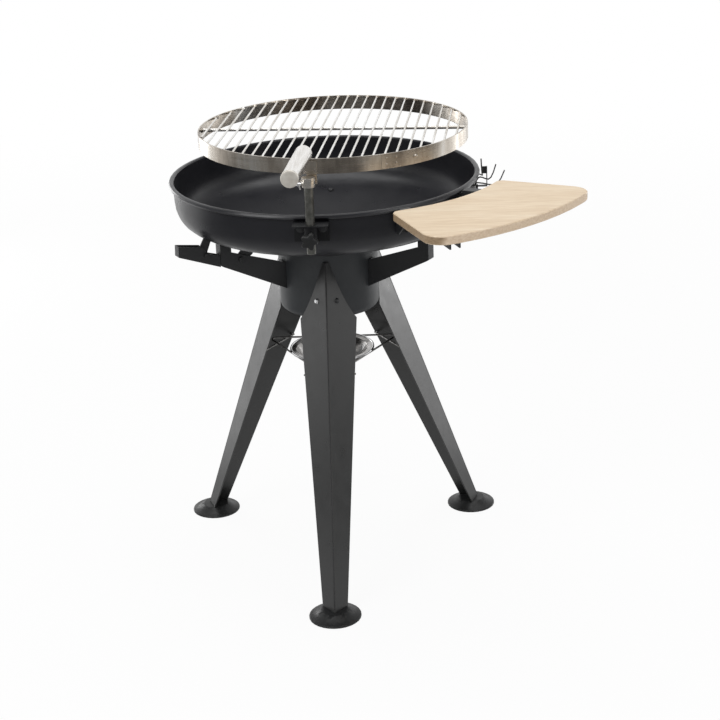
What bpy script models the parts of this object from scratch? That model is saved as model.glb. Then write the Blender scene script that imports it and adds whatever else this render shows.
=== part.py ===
"""Charcoal grill on three folded legs, with a grate that swings on a post.

Metres, +Z up. The origin is on the floor in the middle of the object's
outline and the front leg stands toward -Y. The shapes are worked out around
the axis of bowl, pot and legs, which stands beside the origin at AXIS.
"""
from math import atan2, cos, pi, radians, sin, sqrt

import bmesh
import bpy
from mathutils import Matrix, Vector

# where the axis of bowl, pot and legs meets the floor
AXIS = Vector((-0.0745, 0.0929, 0))
# gap left between two pieces that touch
GAP = 0.0003
# finer and coarser counts for round pieces
ROUND = 60
MEDIUM = 28
SMALL = 12
DOME = 8
HEX = 6
# thread radius of the larger bolts and how far a seat stays under the bowl's cone
BOLT_RADIUS = 0.003
SEAT = 0.0005

# legs: the fold runs down the outside, from the pot to the foot
LEG_AZIMUTHS = {"front": -90, "right": 30, "left": 150}
LEG_HALF_FOLD = radians(39)
LEG_SHEET = 0.003
LEG_BOTTOM = 0.0146
LEG_TOP = 0.62
RIDGE_AT_FLOOR = 0.3325
RIDGE_SLOPE = -0.372
FLANGE_AT_FLOOR = 0.0358
FLANGE_SLOPE = 0.0961
FOOT_CIRCLE = 0.3105
FOOT_RADIUS = 0.0488
LEG_BOLT_HEIGHT = 0.548
LEG_BOLT_ALONG = 0.030

# pot that joins legs, arms and bowl
POT_RADIUS = 0.0949
POT_SHEET = 0.002
POT_BOTTOM = 0.507
POT_TOP = 0.6320
POT_HOLE = 0.052

# bowl: a cone with a rounded corner, an upright side and a rolled rim
BOWL_HOLE = 0.055
BOWL_CONE_START = 0.6205
BOWL_CONE_SLOPE = 0.312
BOWL_CONE_MIDDLE = 0.203
BOWL_CONE_END = 0.23
BOWL_SHEET_UP = 0.0021
BOWL_BOLT_R = 0.2140
RIM_TOP = 0.7667
WALL_CLEAR = 0.2827
WALL_BOLT_HEIGHT = 0.7435

# arms under the bowl, each folded from sheet: side plate, floor, end and top tab
ARM_AZIMUTHS = {"left": -150, "right": -30, "back": 90}
# the side on which an arm has no plate: +1 is to the right of its outward direction
ARM_OPEN_SIDE = {"left": 1, "right": -1, "back": 1}
ARM_WIDTH = 0.020
ARM_SHEET = 0.0025
ARM_ROOT = 0.088
ARM_KNEE = 0.2210
ARM_END = 0.2250
ARM_TAB = 0.2030
# strap on the left arm: its bolt's radius and height, and its sheet
STRAP_BOLT = (0.1849, 0.6329)
STRAP_SHEET = 0.003

# post, its guide on the bowl and the clamp knob
POST = Vector((-0.011, -0.3045, 0))
POST_RADIUS = 0.008
POST_SIDES = 20
POST_BOTTOM = 0.7035
POST_TOP = 0.8347
GUIDE_PLATE_TOP = 0.7556
GUIDE_PLATE = 0.003
GUIDE_WIDTH = 0.062
SLEEVE_RADIUS = 0.0115
KNOB_HEIGHT = 0.7345

# grate: band, rods, cross bar and grip
GRATE_AZIMUTH = radians(85.2)
RING_RADIUS = 0.246
RING_SHEET = 0.0025
RING_HEIGHT = 0.0265
RING_TOP = 0.8660
POST_TO_RING = 0.0172
ROD_COUNT = 25
ROD_PITCH = 0.0191
ROD_RADIUS = 0.002
CLIP_BOTTOM = 0.8220
CLIP_COLLAR_TOP = 0.8385
CLIP_BOLT_HEIGHT = 0.8305
GRIP_RADIUS = 0.0148
GRIP_HEIGHT = 0.8765
GRIP_SIDE = 0.0075
BAND_SIDE = 0.0110
HANDLE_STUD = 0.0025

# shelf board and its two rails
BOARD_INNER = 0.3475
BOARD_OUTER = 0.5235
BOARD_FROM = radians(-68.5)
BOARD_TO = radians(-23.9)
BOARD_BOTTOM = 0.765
BOARD_THICK = 0.015
BOARD_CORNER_INNER = 0.012
BOARD_CORNER_OUTER = 0.034
BOARD_EDGE = 0.0016
RAIL_AZIMUTHS = {"front": -59.5, "back": -28.5}
RAIL_WIDTH = 0.0205
RAIL_BOTTOM = 0.740
RAIL_END = 0.455
SCREW_RADII = {"a": 0.378, "b": 0.440}
WOOD_SCREW_RADIUS = 0.002

# wire triangle between the legs and the dish in it
FRAME_HEIGHT = 0.412
FRAME_INRADIUS = 0.074
FRAME_WIRE = 0.002
PIN_RADIAL = 0.1215
DISH_RADIUS = 0.082

COLOURS = {
    "black_enamel": ((0.018, 0.018, 0.020, 1), 0.38, 0.0),
    "black_paint": ((0.020, 0.020, 0.021, 1), 0.5, 0.0),
    "stainless": ((0.62, 0.60, 0.57, 1), 0.22, 1.0),
    "brushed_metal": ((0.72, 0.71, 0.69, 1), 0.38, 1.0),
    "chrome": ((0.75, 0.75, 0.76, 1), 0.08, 1.0),
    "black_plastic": ((0.02, 0.02, 0.02, 1), 0.45, 0.0),
    "beech": ((0.74, 0.58, 0.40, 1), 0.5, 0.0),
}


def clear_scene():
    for item in list(bpy.data.objects):
        bpy.data.objects.remove(item, do_unlink=True)


def material(node, kind):
    colour, rough, metal = COLOURS[kind]
    made = bpy.data.materials.new(node + "_" + kind)
    made.use_nodes = True
    shader = made.node_tree.nodes["Principled BSDF"]
    shader.inputs["Base Color"].default_value = colour
    shader.inputs["Roughness"].default_value = rough
    shader.inputs["Metallic"].default_value = metal
    made.diffuse_color = colour
    return made


def finish_mesh(made):
    made.normal_update()
    bmesh.ops.recalc_face_normals(made, faces=made.faces)


def add_piece(name, made, kind, smooth=False, origin=(0, 0, 0)):
    """Turns a bmesh, drawn around the legs' axis, into a named node."""
    finish_mesh(made)
    home = Vector(origin)
    bmesh.ops.translate(made, verts=made.verts, vec=-home)
    mesh = bpy.data.meshes.new(name)
    made.to_mesh(mesh)
    made.free()
    node = bpy.data.objects.new(name, mesh)
    node.location = home + AXIS
    bpy.context.scene.collection.objects.link(node)
    mesh.materials.append(material(name, kind))
    if smooth:
        for face in mesh.polygons:
            face.use_smooth = True
        mesh.set_sharp_from_angle(angle=radians(38))
    return node


def frame_at(azimuth, offset=0.0, height=0.0):
    """Local X outward along the azimuth, Y across it, Z up."""
    turn = Matrix.Rotation(azimuth, 4, "Z")
    return turn @ Matrix.Translation((0, offset, height))


def rings_to_mesh(made, rings, close_loop=False, cap_ends=True):
    """Joins equal rings of points by quads, into a tube or a closed loop."""
    rows = [[made.verts.new(p) for p in ring] for ring in rings]
    count = len(rows[0])
    pairs = list(zip(rows, rows[1:]))
    if close_loop:
        pairs.append((rows[-1], rows[0]))
    for low, high in pairs:
        for i in range(count):
            j = (i + 1) % count
            made.faces.new((low[i], low[j], high[j], high[i]))
    if cap_ends and not close_loop:
        made.faces.new(list(reversed(rows[0])))
        made.faces.new(rows[-1])


def revolve(made, profile, sides, place=Matrix()):
    """Turns a closed (radius, height) outline about Z."""
    rings = []
    for k in range(sides):
        a = 2 * pi * k / sides
        rings.append([place @ Vector((r * cos(a), r * sin(a), z)) for r, z in profile])
    rings_to_mesh(made, rings, close_loop=True)


def turned(made, profile, sides, place=Matrix()):
    """A solid of revolution whose ends are flat discs."""
    rings = []
    for r, z in profile:
        rings.append([place @ Vector((r * cos(2 * pi * k / sides), r * sin(2 * pi * k / sides), z))
                      for k in range(sides)])
    rings_to_mesh(made, rings)


def prism(made, outline, low, high, place=Matrix()):
    """A flat outline in local XY, pulled along local Z."""
    rings = [[place @ Vector((x, y, z)) for x, y in outline] for z in (low, high)]
    rings_to_mesh(made, rings)


def tube(made, points, radius, sides, closed=False):
    """Round wire along a path, its sections turned with the bends."""
    path = [Vector(p) for p in points]
    count = len(path)
    rings = []
    side = None
    for i, point in enumerate(path):
        before = path[i - 1] if (i or closed) else point
        after = path[(i + 1) % count] if (i + 1 < count or closed) else point
        into = (point - before).normalized() if point != before else (after - point).normalized()
        out = (after - point).normalized() if point != after else into
        along = (into + out).normalized()
        if side is None:
            seed = Vector((0, 0, 1)) if abs(along.z) < 0.9 else Vector((1, 0, 0))
            side = along.cross(seed).normalized()
        side = (side - along * side.dot(along)).normalized()
        other = along.cross(side)
        stretch = 1 / max(0.5, along.dot(out))
        bend = (out - into)
        axis = bend.normalized() if bend.length > 1e-6 else None
        ring = []
        for k in range(sides):
            a = 2 * pi * k / sides
            spoke = side * cos(a) + other * sin(a)
            if axis is not None:
                spoke = spoke + axis * spoke.dot(axis) * (stretch - 1)
            ring.append(point + spoke * radius)
        rings.append(ring)
    rings_to_mesh(made, rings, close_loop=closed)


def side_plate_frame(azimuth):
    """Local X is the radius, local Y is height, local Z runs across."""
    out = Vector((cos(azimuth), sin(azimuth), 0))
    up = Vector((0, 0, 1))
    across = out.cross(up)
    turn = Matrix((out, up, across)).transposed()
    return turn.to_4x4()


def axis_frame(point, direction):
    """Local Z along the direction, from the point."""
    quat = Vector(direction).normalized().to_track_quat("Z", "Y")
    return Matrix.Translation(point) @ quat.to_matrix().to_4x4()


def cut(node, cutter_mesh):
    """Takes a closed cutter out of a node."""
    finish_mesh(cutter_mesh)
    mesh = bpy.data.meshes.new("cutter")
    cutter_mesh.to_mesh(mesh)
    cutter_mesh.free()
    cutter = bpy.data.objects.new("cutter", mesh)
    cutter.location = AXIS
    bpy.context.scene.collection.objects.link(cutter)
    step = node.modifiers.new("cut", "BOOLEAN")
    step.operation = "DIFFERENCE"
    step.solver = "EXACT"
    step.object = cutter
    bake_modifiers(node)
    bpy.data.objects.remove(cutter, do_unlink=True)


def join_bodies(node):
    """Makes one body of the overlapping shells in a node."""
    step = node.modifiers.new("weld", "BOOLEAN")
    step.operation = "UNION"
    step.solver = "EXACT"
    step.use_self = True
    empty = bpy.data.objects.new("nothing", bpy.data.meshes.new("nothing"))
    bpy.context.scene.collection.objects.link(empty)
    step.object = empty
    bake_modifiers(node)
    bpy.data.objects.remove(empty, do_unlink=True)


def bake_modifiers(node):
    bpy.context.view_layer.update()
    graph = bpy.context.evaluated_depsgraph_get()
    solved = bpy.data.meshes.new_from_object(node.evaluated_get(graph))
    old = node.data
    node.modifiers.clear()
    node.data = solved
    bpy.data.meshes.remove(old)


def cylinder_cutter(point, direction, radius, length, sides=SMALL):
    made = bmesh.new()
    turned(made, [(radius, -length / 2), (radius, length / 2)], sides, axis_frame(point, direction))
    return made


# bowl outline, outer side


def cone_height(radius):
    return BOWL_CONE_START + BOWL_CONE_SLOPE * (radius - BOWL_HOLE)


def bowl_profile():
    outer = [(BOWL_HOLE, BOWL_CONE_START), (BOWL_CONE_MIDDLE, cone_height(BOWL_CONE_MIDDLE)),
             (BOWL_CONE_END, cone_height(BOWL_CONE_END)),
             (0.2465, 0.6806), (0.2600, 0.6876), (0.2700, 0.6962), (0.2762, 0.7062),
             (0.2800, 0.7184), (0.2818, 0.7350), (0.2822, 0.7560)]
    bead = [(0.2850, 0.7575), (0.2882, 0.7590), (0.2900, 0.7622), (0.2884, 0.7655),
            (0.2853, RIM_TOP), (0.2822, 0.7662), (0.2804, 0.7640)]
    inner = [(0.2800, 0.7560), (0.2796, 0.7350), (0.2779, 0.7191), (0.2743, 0.7074),
             (0.2685, 0.6980), (0.2591, 0.6897), (0.2460, 0.6828),
             (BOWL_CONE_END, cone_height(BOWL_CONE_END) + BOWL_SHEET_UP),
             (BOWL_CONE_MIDDLE, cone_height(BOWL_CONE_MIDDLE) + BOWL_SHEET_UP),
             (BOWL_HOLE, BOWL_CONE_START + BOWL_SHEET_UP)]
    return outer + bead + inner


def build_bowl():
    made = bmesh.new()
    revolve(made, bowl_profile(), ROUND)
    return add_piece("bowl", made, "black_enamel", smooth=True)


def build_charcoal_grid():
    """Round grid of flat band and wires that lies on the bowl's cone over its hole."""
    outer, inner, thick = 0.105, 0.098, 0.003
    base = cone_height(outer) + BOWL_SHEET_UP + SEAT
    made = bmesh.new()
    revolve(made, [(inner, base), (outer, base), (outer, base + thick), (inner, base + thick)], 30)
    reach = (outer + inner) / 2 - 0.002
    spacing = 0.0165
    middle = base + thick / 2
    for k in range(-5, 6):
        half = sqrt(reach ** 2 - (k * spacing) ** 2)
        y = k * spacing
        tube(made, [(-half, y, middle), (half, y, middle)], 0.0014, HEX)
    node = add_piece("charcoal_grid", made, "black_paint", smooth=True)
    join_bodies(node)
    return node


def build_pot():
    edge = 0.012
    outer = [(POT_HOLE, POT_BOTTOM), (POT_RADIUS - edge, POT_BOTTOM)]
    inner = [(POT_RADIUS - edge, POT_BOTTOM + POT_SHEET), (POT_HOLE, POT_BOTTOM + POT_SHEET)]
    bend = [(POT_RADIUS - edge + edge * sin(a), POT_BOTTOM + edge - edge * cos(a))
            for a in (radians(30), radians(60), radians(90))]
    small = edge - POT_SHEET
    bend_in = [(POT_RADIUS - edge + small * sin(a), POT_BOTTOM + edge - small * cos(a))
               for a in (radians(90), radians(45))]
    top = [(POT_RADIUS, POT_TOP), (POT_RADIUS - POT_SHEET, POT_TOP)]
    made = bmesh.new()
    revolve(made, outer + bend + top + bend_in + inner, 40)
    return add_piece("pot", made, "black_enamel", smooth=True)


def ridge_radius(height):
    return RIDGE_AT_FLOOR + RIDGE_SLOPE * height


def flange_width(height):
    return FLANGE_AT_FLOOR + FLANGE_SLOPE * height


def leg_section(height, azimuth):
    """Six corners of the folded sheet at one height."""
    ridge = ridge_radius(height)
    width = flange_width(height)
    c, s = cos(LEG_HALF_FOLD), sin(LEG_HALF_FOLD)
    corners = [(ridge, 0), (ridge - width * c, width * s),
               (ridge - width * c - LEG_SHEET * s, width * s - LEG_SHEET * c),
               (ridge - LEG_SHEET / s, 0),
               (ridge - width * c - LEG_SHEET * s, -width * s + LEG_SHEET * c),
               (ridge - width * c, -width * s)]
    turn = frame_at(azimuth, 0, height)
    return [turn @ Vector((x, y, 0)) for x, y in corners]


def leg_bolt_axis(azimuth, side):
    """Where a flange is bolted to the pot, and the outward normal there."""
    ridge = ridge_radius(LEG_BOLT_HEIGHT)
    c, s = cos(LEG_HALF_FOLD), sin(LEG_HALF_FOLD)
    local = Vector((ridge - LEG_BOLT_ALONG * c, side * LEG_BOLT_ALONG * s, LEG_BOLT_HEIGHT))
    turn = frame_at(azimuth)
    upward = Vector((RIDGE_SLOPE, 0, 1))
    across = Vector((-c, side * s, 0))
    normal = across.cross(upward).normalized()
    if normal.x < 0:
        normal = -normal
    return turn @ local, turn.to_3x3() @ normal


def build_leg(name, azimuth):
    made = bmesh.new()
    rings_to_mesh(made, [leg_section(LEG_BOTTOM, azimuth), leg_section(LEG_TOP, azimuth)])
    node = add_piece("leg_" + name, made, "black_paint")
    drum = bmesh.new()
    turned(drum, [(POT_RADIUS + GAP, POT_BOTTOM - 0.015), (POT_RADIUS + GAP, LEG_TOP + 0.02)], 96)
    cut(node, drum)
    pin = pin_ends(azimuth)
    cut(node, cylinder_cutter((pin[0] + pin[1]) / 2, pin[1] - pin[0], FRAME_WIRE + 2 * GAP, 0.16))
    for side in (-1, 1):
        point, normal = leg_bolt_axis(azimuth, side)
        cut(node, cylinder_cutter(point, normal, BOLT_RADIUS + GAP, 0.02))
    return node


def build_leg_bolts(name, azimuth):
    """Two dome-headed screws through the flanges, with their nuts behind."""
    back = -LEG_SHEET - GAP
    for side, letter in ((-1, "a"), (1, "b")):
        point, normal = leg_bolt_axis(azimuth, side)
        made = bmesh.new()
        turned(made, [(0.0048, back - 0.0035), (0.0048, back), (BOLT_RADIUS, back),
                      (BOLT_RADIUS, GAP), (0.0058, GAP), (0.0036, 0.0034)],
               DOME, axis_frame(point, normal))
        add_piece("leg_bolt_" + name + "_" + letter, made, "chrome", smooth=True)


def build_foot(name, azimuth):
    place = frame_at(azimuth) @ Matrix.Translation((FOOT_CIRCLE, 0, 0))
    made = bmesh.new()
    turned(made, [(FOOT_RADIUS, 0), (FOOT_RADIUS, 0.003), (FOOT_RADIUS - 0.0020, 0.0042),
                  (0.0400, 0.0056), (0.0335, 0.0096), (0.0262, LEG_BOTTOM - GAP)],
           MEDIUM, place)
    return add_piece("foot_" + name, made, "black_plastic", smooth=True)


def arm_outline():
    """Outer edge of an arm seen from the side: radius and height."""
    return [(ARM_ROOT, 0.5551), (ARM_KNEE, 0.6240), (ARM_END, 0.6268),
            (ARM_END, cone_height(ARM_END) - SEAT), (ARM_TAB, cone_height(ARM_TAB) - SEAT),
            (ARM_TAB, 0.6489), (ARM_ROOT, 0.6077)]


def arm_hollow():
    """The space that the folded sheet of an arm goes round."""
    floor, tab = 0.0028, 0.0035
    root, end = 0.0985, ARM_END - ARM_SHEET
    clear = ARM_TAB - tab
    return [(root, 0.5605 + floor), (ARM_KNEE - 0.002, 0.6230 + floor), (end, 0.6256 + floor),
            (end, cone_height(end) - tab), (ARM_TAB, cone_height(ARM_TAB) - tab),
            (clear, 0.6650), (clear, 0.7000), (root, 0.7000)]


def build_arm(name):
    azimuth = radians(ARM_AZIMUTHS[name])
    place = side_plate_frame(azimuth)
    half = ARM_WIDTH / 2
    made = bmesh.new()
    prism(made, arm_outline(), -half, half, place)
    node = add_piece("arm_" + name, made, "black_paint")
    walls = sorted(side * ARM_OPEN_SIDE[name] for side in (-half + ARM_SHEET, half + 0.010))
    hollow = bmesh.new()
    prism(hollow, arm_hollow(), walls[0], walls[1], place)
    cut(node, hollow)
    drum = bmesh.new()
    turned(drum, [(POT_RADIUS + GAP, 0.50), (POT_RADIUS + GAP, 0.66)], 96)
    cut(node, drum)
    point, normal = bowl_bolt(azimuth)
    cut(node, cylinder_cutter(point, normal, BOLT_RADIUS + GAP, 0.014))
    return node


def bowl_bolt(azimuth):
    """Bolt through the bowl's cone and the arm's raised tab."""
    normal = Vector((BOWL_CONE_SLOPE, -1, 0)).normalized()
    place = side_plate_frame(azimuth)
    point = place @ Vector((BOWL_BOLT_R, cone_height(BOWL_BOLT_R), 0))
    return point, place.to_3x3() @ normal


def build_bowl_bolts():
    """Three bolts that hold the bowl on the arms."""
    head = -0.0020 - GAP
    nut = 0.0034 + GAP
    for name, azimuth in ARM_AZIMUTHS.items():
        point, down = bowl_bolt(radians(azimuth))
        made = bmesh.new()
        turned(made, [(0.0046, head - 0.0028), (0.0062, head), (BOLT_RADIUS, head),
                      (BOLT_RADIUS, nut), (0.0052, nut), (0.0052, nut + 0.0045)],
               HEX, axis_frame(point, down))
        add_piece("bowl_bolt_" + name, made, "black_paint")


def cross_bolt(made, place, spot, head, nut):
    """Bolt across a channel, from its head's seat to its nut's, both along local Z."""
    start = place @ Vector((spot[0], spot[1], 0))
    across = place.to_3x3() @ Vector((0, 0, 1))
    turned(made, [(0.0048, head - 0.0040), (0.0052, head), (BOLT_RADIUS, head), (BOLT_RADIUS, nut),
                  (0.0052, nut), (0.0052, nut + 0.0036)], HEX, axis_frame(start, across))


def cross_hole(node, place, spot, middle, length):
    """Bolt hole across a sheet, centred this far along local Z."""
    start = place @ Vector((spot[0], spot[1], middle))
    across = place.to_3x3() @ Vector((0, 0, 1))
    cut(node, cylinder_cutter(start, across, BOLT_RADIUS + GAP, length))


def build_arm_strap(arm):
    """Sheet strap inside the left arm's plate that carries the bowl's cone."""
    place = side_plate_frame(radians(ARM_AZIMUTHS["left"]))
    plate = -ARM_WIDTH / 2
    near = plate + ARM_SHEET + GAP
    far = near + STRAP_SHEET
    made = bmesh.new()
    prism(made, [(0.1765, 0.6215), (0.1935, 0.6290), (0.1905, 0.6405),
                 (0.1740, cone_height(0.1740) - SEAT), (0.1520, cone_height(0.1520) - SEAT),
                 (0.1600, 0.6375), (0.1725, 0.6300)], near, far, place)
    strap = add_piece("arm_strap_left", made, "black_paint")
    for node in (arm, strap):
        cross_hole(node, place, STRAP_BOLT, plate + 0.003, 0.012)
    bolt = bmesh.new()
    cross_bolt(bolt, place, STRAP_BOLT, plate - GAP, far + GAP)
    add_piece("arm_bolt_left", bolt, "black_paint")


# the hanger that carries on from the left arm

HANGER_WIDTH = 0.018
HANGER_SHEET = 0.0025
HANGER_END = 0.3065
HANGER_BOLT = (0.2525, 0.6520)


def build_side_hanger():
    place = side_plate_frame(radians(ARM_AZIMUTHS["left"]))
    half = HANGER_WIDTH / 2
    start = ARM_END + GAP
    made = bmesh.new()
    prism(made, [(start, 0.6245), (HANGER_END, 0.6575), (HANGER_END - 0.0010, 0.6775),
                 (0.2590, 0.6690), (0.2480, 0.6535), (start, 0.6460)], -half, half, place)
    node = add_piece("side_hanger", made, "black_paint")
    inside = half - HANGER_SHEET
    inner, outer = start + HANGER_SHEET, HANGER_END - HANGER_SHEET
    hollow = bmesh.new()
    prism(hollow, [(inner, 0.6289), (outer, 0.6598), (outer, 0.7000), (inner, 0.7000)],
          -inside, inside, place)
    cut(node, hollow)
    cross_hole(node, place, HANGER_BOLT, 0, 0.06)
    return node


def build_hanger_strap():
    place = side_plate_frame(radians(ARM_AZIMUTHS["left"]))
    made = bmesh.new()
    prism(made, [(0.2445, 0.6440), (0.2605, 0.6500), (0.2600, 0.6690), (0.2520, 0.6829),
                 (0.2465, 0.6802), (0.2380, 0.6773), (0.2470, 0.6560)],
          -STRAP_SHEET / 2, STRAP_SHEET / 2, place)
    node = add_piece("hanger_strap", made, "black_paint")
    cross_hole(node, place, HANGER_BOLT, 0, 0.02)
    return node


def build_hanger_bolt():
    made = bmesh.new()
    seat = HANGER_WIDTH / 2 + GAP
    cross_bolt(made, side_plate_frame(radians(ARM_AZIMUTHS["left"])), HANGER_BOLT, -seat, seat)
    return add_piece("hanger_bolt", made, "black_paint")


# wire triangle and dish


def pin_ends(azimuth):
    """Ends of the wire pin that crosses a leg's open side."""
    half = flange_width(FRAME_HEIGHT) * sin(LEG_HALF_FOLD) + 0.0015
    height = FRAME_HEIGHT - 2 * FRAME_WIRE - GAP
    turn = frame_at(azimuth, 0, height)
    return turn @ Vector((PIN_RADIAL, -half, 0)), turn @ Vector((PIN_RADIAL, half, 0))


def build_dish_pins():
    for name, azimuth in LEG_AZIMUTHS.items():
        made = bmesh.new()
        tube(made, pin_ends(radians(azimuth)), FRAME_WIRE, DOME)
        add_piece("dish_pin_" + name, made, "brushed_metal", smooth=True)


def build_dish_frame():
    """One wire bent to a triangle whose corners lie in the folded legs."""
    corner = 2 * FRAME_INRADIUS
    bend = 0.009
    points = []
    for azimuth in LEG_AZIMUTHS.values():
        centre = corner - 2 * bend
        a = radians(azimuth)
        mid = Vector((centre * cos(a), centre * sin(a), FRAME_HEIGHT))
        for step in range(-60, 61, 24):
            b = a + radians(step)
            points.append(mid + Vector((bend * cos(b), bend * sin(b), 0)))
    made = bmesh.new()
    tube(made, points, FRAME_WIRE, HEX, closed=True)
    return add_piece("dish_frame", made, "brushed_metal", smooth=True)


def build_ash_dish():
    """Pressed round dish with a rolled rim that rests on the wires."""
    rest = FRAME_HEIGHT + FRAME_WIRE + GAP
    outer = [(0.0, rest - 0.0220), (0.040, rest - 0.0220), (0.0560, rest - 0.0175),
             (0.0655, rest - 0.0070), (0.0690, rest)]
    rim = [(0.0800, rest), (DISH_RADIUS, rest + 0.0016), (0.0815, rest + 0.0036),
           (0.0795, rest + 0.0042), (0.0765, rest + 0.0030)]
    inner = [(0.0690, rest + 0.0022), (0.0640, rest - 0.0060), (0.0550, rest - 0.0162),
             (0.0395, rest - 0.0205), (0.0, rest - 0.0205)]
    made = bmesh.new()
    open_profile(made, outer + rim + inner, 36)
    return add_piece("ash_dish", made, "chrome", smooth=True, origin=(0, 0, rest))


def open_profile(made, profile, sides, place=Matrix()):
    """Turns an outline that starts and ends on the axis."""
    first = made.verts.new(place @ Vector((0, 0, profile[0][1])))
    last = made.verts.new(place @ Vector((0, 0, profile[-1][1])))
    rows = []
    for r, z in profile[1:-1]:
        rows.append([made.verts.new(place @ Vector((r * cos(2 * pi * k / sides),
                                                    r * sin(2 * pi * k / sides), z)))
                     for k in range(sides)])
    for low, high in zip(rows, rows[1:]):
        for i in range(sides):
            j = (i + 1) % sides
            made.faces.new((low[i], low[j], high[j], high[i]))
    for i in range(sides):
        j = (i + 1) % sides
        made.faces.new((first, rows[0][j], rows[0][i]))
        made.faces.new((last, rows[-1][i], rows[-1][j]))


# post, guide and clamp


def build_guide():
    """Sheet plate on the bowl's wall with the post's sleeve under it."""
    reach = POST.to_2d().length
    half = GUIDE_WIDTH / 2
    corner = 0.005
    front = reach + 0.0130
    low = GUIDE_PLATE_TOP - GUIDE_PLATE
    place = frame_at(atan2(POST.y, POST.x))
    toward = clamp_direction()
    made = bmesh.new()
    prism(made, [(0.2829, -half), (front - corner, -half), (front, -half + corner),
                 (front, half - corner), (front - corner, half), (0.2829, half)],
          low, GUIDE_PLATE_TOP, place)
    prism(made, [(0.2790, -half + 0.0006), (0.2852, -half + 0.0006),
                 (0.2852, half - 0.0006), (0.2790, half - 0.0006)], 0.7200, low + 0.0020, place)
    prism(made, [(0.2840, -0.004), (reach - 0.006, -0.004), (reach - 0.006, 0.004),
                 (0.2840, 0.004)], 0.7290, low + 0.0010, place)
    turned(made, [(SLEEVE_RADIUS, 0.7235), (SLEEVE_RADIUS, low + 0.0015)], 20,
           Matrix.Translation((POST.x, POST.y, 0)))
    boss = axis_frame(Vector((POST.x, POST.y, KNOB_HEIGHT)) + toward * 0.006, toward)
    turned(made, [(0.0070, 0), (0.0070, 0.0115)], 14, boss)
    node = add_piece("guide_bracket", made, "black_paint")
    join_bodies(node)
    clear = 0.0004
    cut(node, cylinder_cutter(POST + Vector((0, 0, KNOB_HEIGHT)), (0, 0, 1),
                              POST_RADIUS + clear, 0.10, POST_SIDES))
    cut(node, cylinder_cutter(Vector((POST.x, POST.y, KNOB_HEIGHT)) + toward * 0.0155,
                              toward, BOLT_RADIUS + clear, 0.022))
    cut(node, bowl_wall_cutter())
    for side in (-1, 1):
        point, normal = guide_bolt(side)
        cut(node, cylinder_cutter(point, normal, BOLT_RADIUS + GAP, 0.02))
    return node


def bowl_wall_cutter():
    """Drum that keeps pieces clear of the bowl's upright wall."""
    drum = bmesh.new()
    turned(drum, [(WALL_CLEAR, 0.690), (WALL_CLEAR, 0.770)], 96)
    return drum


def add_to(node, extra):
    """Adds the shells of a bmesh to a node's mesh."""
    finish_mesh(extra)
    both = bmesh.new()
    both.from_mesh(node.data)
    mesh = bpy.data.meshes.new("extra")
    extra.to_mesh(mesh)
    extra.free()
    both.from_mesh(mesh)
    both.to_mesh(node.data)
    both.free()
    bpy.data.meshes.remove(mesh)


def guide_bolt(side):
    azimuth = atan2(POST.y, POST.x) + side * radians(3.9)
    normal = Vector((cos(azimuth), sin(azimuth), 0))
    return normal * 0.2815 + Vector((0, 0, WALL_BOLT_HEIGHT)), normal


def build_guide_bolts():
    for side, letter in ((-1, "a"), (1, "b")):
        point, normal = guide_bolt(side)
        made = bmesh.new()
        wall_bolt(made, axis_frame(point, normal), 0.0052)
        add_piece("guide_bolt_" + letter, made, "black_paint")


def wall_bolt(made, place, outside):
    """Bolt through the bowl's upright wall, its head inside and its nut outside."""
    inside = -0.0026
    turned(made, [(0.0044, inside - 0.0024), (0.0060, inside), (BOLT_RADIUS, inside),
                  (BOLT_RADIUS, outside), (0.0052, outside), (0.0052, outside + 0.0042)],
           HEX, place)


def clamp_direction():
    flat = POST.to_2d().normalized()
    return Vector((flat.x, flat.y, 0))


def clamp_place(distance):
    """Frame on the clamp screw's axis, this far outward from the post's axis."""
    toward = clamp_direction()
    return axis_frame(Vector((POST.x, POST.y, KNOB_HEIGHT)) + toward * distance, toward)


def build_clamp_screw():
    made = bmesh.new()
    place = clamp_place(0)
    start = POST_RADIUS + GAP
    turned(made, [(0.0022, start), (BOLT_RADIUS, start + 0.001), (BOLT_RADIUS, 0.0182),
                  (0.0056, 0.0182), (0.0056, 0.0222), (BOLT_RADIUS, 0.0222), (BOLT_RADIUS, 0.0300)],
           SMALL, place)
    return add_piece("clamp_screw", made, "chrome", smooth=True, origin=place.translation)


def star_outline(arms, inner, outer, steps):
    points = []
    for k in range(arms * steps):
        a = 2 * pi * k / (arms * steps)
        wave = (0.5 + 0.5 * cos(arms * a)) ** 0.8
        r = inner + (outer - inner) * wave
        points.append((r * cos(a), r * sin(a)))
    return points


def build_clamp_knob():
    """Star knob with five lobes, a collar behind and a rounded face."""
    place = clamp_place(0)
    made = bmesh.new()
    rows = [(0.0225, 0.62), (0.0235, 0.92), (0.0262, 1.0), (0.0330, 1.0), (0.0356, 0.93), (0.0366, 0.70)]
    base = star_outline(5, 0.0100, 0.0158, 5)
    rings = [[place @ Vector((x * k, y * k, z)) for x, y in base] for z, k in rows]
    rings_to_mesh(made, rings)
    node = add_piece("clamp_knob", made, "black_plastic", smooth=True, origin=place.translation)
    toward = clamp_direction()
    middle = Vector((POST.x, POST.y, KNOB_HEIGHT)) + toward * 0.0255
    cut(node, cylinder_cutter(middle, toward, BOLT_RADIUS + GAP, 0.0100))
    return node


def post_origin():
    return Vector((POST.x, POST.y, POST_BOTTOM))


def build_post():
    made = bmesh.new()
    place = Matrix.Translation((POST.x, POST.y, 0))
    turned(made, [(POST_RADIUS - 0.001, POST_BOTTOM), (POST_RADIUS, POST_BOTTOM + 0.001),
                  (POST_RADIUS, POST_TOP - 0.001), (POST_RADIUS - 0.001, POST_TOP)],
           POST_SIDES, place)
    return add_piece("post", made, "stainless", smooth=True, origin=post_origin())


# grate


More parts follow.
